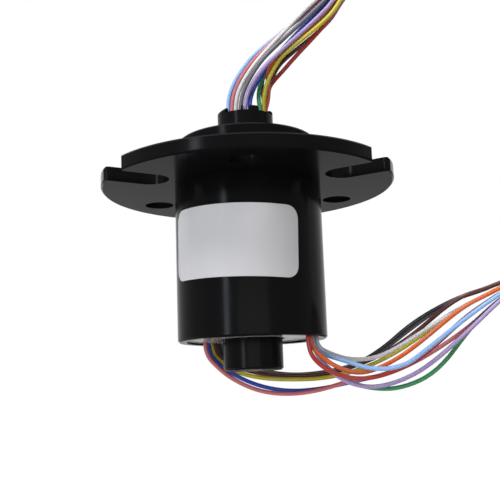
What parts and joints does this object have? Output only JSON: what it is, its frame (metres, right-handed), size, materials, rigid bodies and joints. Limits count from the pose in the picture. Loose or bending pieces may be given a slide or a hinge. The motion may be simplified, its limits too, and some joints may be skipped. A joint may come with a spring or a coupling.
{
  "type": "slip ring",
  "caption": "Small flanged capsule slip ring: fixed body with slotted round flange, free-turning hollow shaft, coloured leads from both ends.",
  "frame": {"origin": "on the turning axis, in the flange's underside, which is the face that seats on a panel", "axes": "+Z along the axis from the flange to the rotor's hub; -Z along the barrel to the stator leads; +X towards the side that both lead bundles run to; +Y through the open screw slot between two round holes"},
  "size_m": [0.0742, 0.0437, 0.0997],
  "materials": {
    "black_moulding": "satin",
    "label_film": "satin",
    "grey_moulding": "satin",
    "dark_steel": "blackened",
    "circuit_board": "solder mask",
    "gold_plate": "gold plated",
    "bearing_steel": "ground",
    "ball_steel": "polished",
    "cage_brass": "stamped",
    "black_shaft": "satin",
    "cream_plastic": "moulded",
    "lead_black": "satin insulation",
    "lead_brown": "satin insulation",
    "lead_red": "satin insulation",
    "lead_orange": "satin insulation",
    "lead_yellow": "satin insulation",
    "lead_green": "satin insulation",
    "lead_blue": "satin insulation",
    "lead_purple": "satin insulation",
    "lead_grey": "satin insulation",
    "lead_white": "satin insulation",
    "lead_pink": "satin insulation",
    "lead_light_blue": "satin insulation",
    "lead_mix": "twelve leads of mixed colours",
    "nylon": "nylon strap"
  },
  "bodies": {
    "stator": {"housing": "black_moulding", "label": "label_film", "end_plate": "grey_moulding", "end_plate_screws": "dark_steel", "brush_board_a": "circuit_board", "brush_board_b": "circuit_board", "brush_wires_a": "gold_plate", "brush_wires_b": "gold_plate", "upper_bearing_outer_ring": "bearing_steel", "lower_bearing_outer_ring": "bearing_steel", "stator_wire_black": "lead_black", "stator_wire_brown": "lead_brown", "stator_wire_red": "lead_red", "stator_wire_orange": "lead_orange", "stator_wire_yellow": "lead_yellow", "stator_wire_green": "lead_green", "stator_wire_blue": "lead_blue", "stator_wire_purple": "lead_purple", "stator_wire_grey": "lead_grey", "stator_wire_white": "lead_white", "stator_wire_pink": "lead_pink", "stator_wire_light_blue": "lead_light_blue", "stator_hank": "lead_mix", "stator_tie": "nylon"},
    "rotor": {"rotor_shaft": "black_shaft", "ring_spacers": "cream_plastic", "stack_collar": "black_shaft", "contact_ring_01": "gold_plate", "contact_ring_02": "gold_plate", "contact_ring_03": "gold_plate", "contact_ring_04": "gold_plate", "contact_ring_05": "gold_plate", "contact_ring_06": "gold_plate", "contact_ring_07": "gold_plate", "contact_ring_08": "gold_plate", "contact_ring_09": "gold_plate", "contact_ring_10": "gold_plate", "contact_ring_11": "gold_plate", "contact_ring_12": "gold_plate", "upper_bearing_inner_ring": "bearing_steel", "lower_bearing_inner_ring": "bearing_steel", "rotor_wire_black": "lead_black", "rotor_wire_brown": "lead_brown", "rotor_wire_red": "lead_red", "rotor_wire_orange": "lead_orange", "rotor_wire_yellow": "lead_yellow", "rotor_wire_green": "lead_green", "rotor_wire_blue": "lead_blue", "rotor_wire_purple": "lead_purple", "rotor_wire_grey": "lead_grey", "rotor_wire_white": "lead_white", "rotor_wire_pink": "lead_pink", "rotor_wire_light_blue": "lead_light_blue", "rotor_hank": "lead_mix", "rotor_tie": "nylon"},
    "upper_cage": {"upper_bearing_balls": "ball_steel", "upper_bearing_cage": "cage_brass"},
    "lower_cage": {"lower_bearing_balls": "ball_steel", "lower_bearing_cage": "cage_brass"}
  },
  "joints": [
    {"name": "rotor_spin", "type": "hinge", "parent": "stator", "child": "rotor", "pos_m": [0, 0, 0], "axis": [0, 0, 1], "continuous": true},
    {"name": "upper_cage_spin", "type": "hinge", "parent": "stator", "child": "upper_cage", "pos_m": [0, 0, 0.0043], "axis": [0, 0, 1], "continuous": true},
    {"name": "lower_cage_spin", "type": "hinge", "parent": "stator", "child": "lower_cage", "pos_m": [0, 0, -0.02045], "axis": [0, 0, 1], "continuous": true}
  ],
  "couplings": [
    {"joint": "upper_cage_spin", "follows": "rotor_spin", "ratio": 0.4077},
    {"joint": "lower_cage_spin", "follows": "rotor_spin", "ratio": 0.4304}
  ]
}
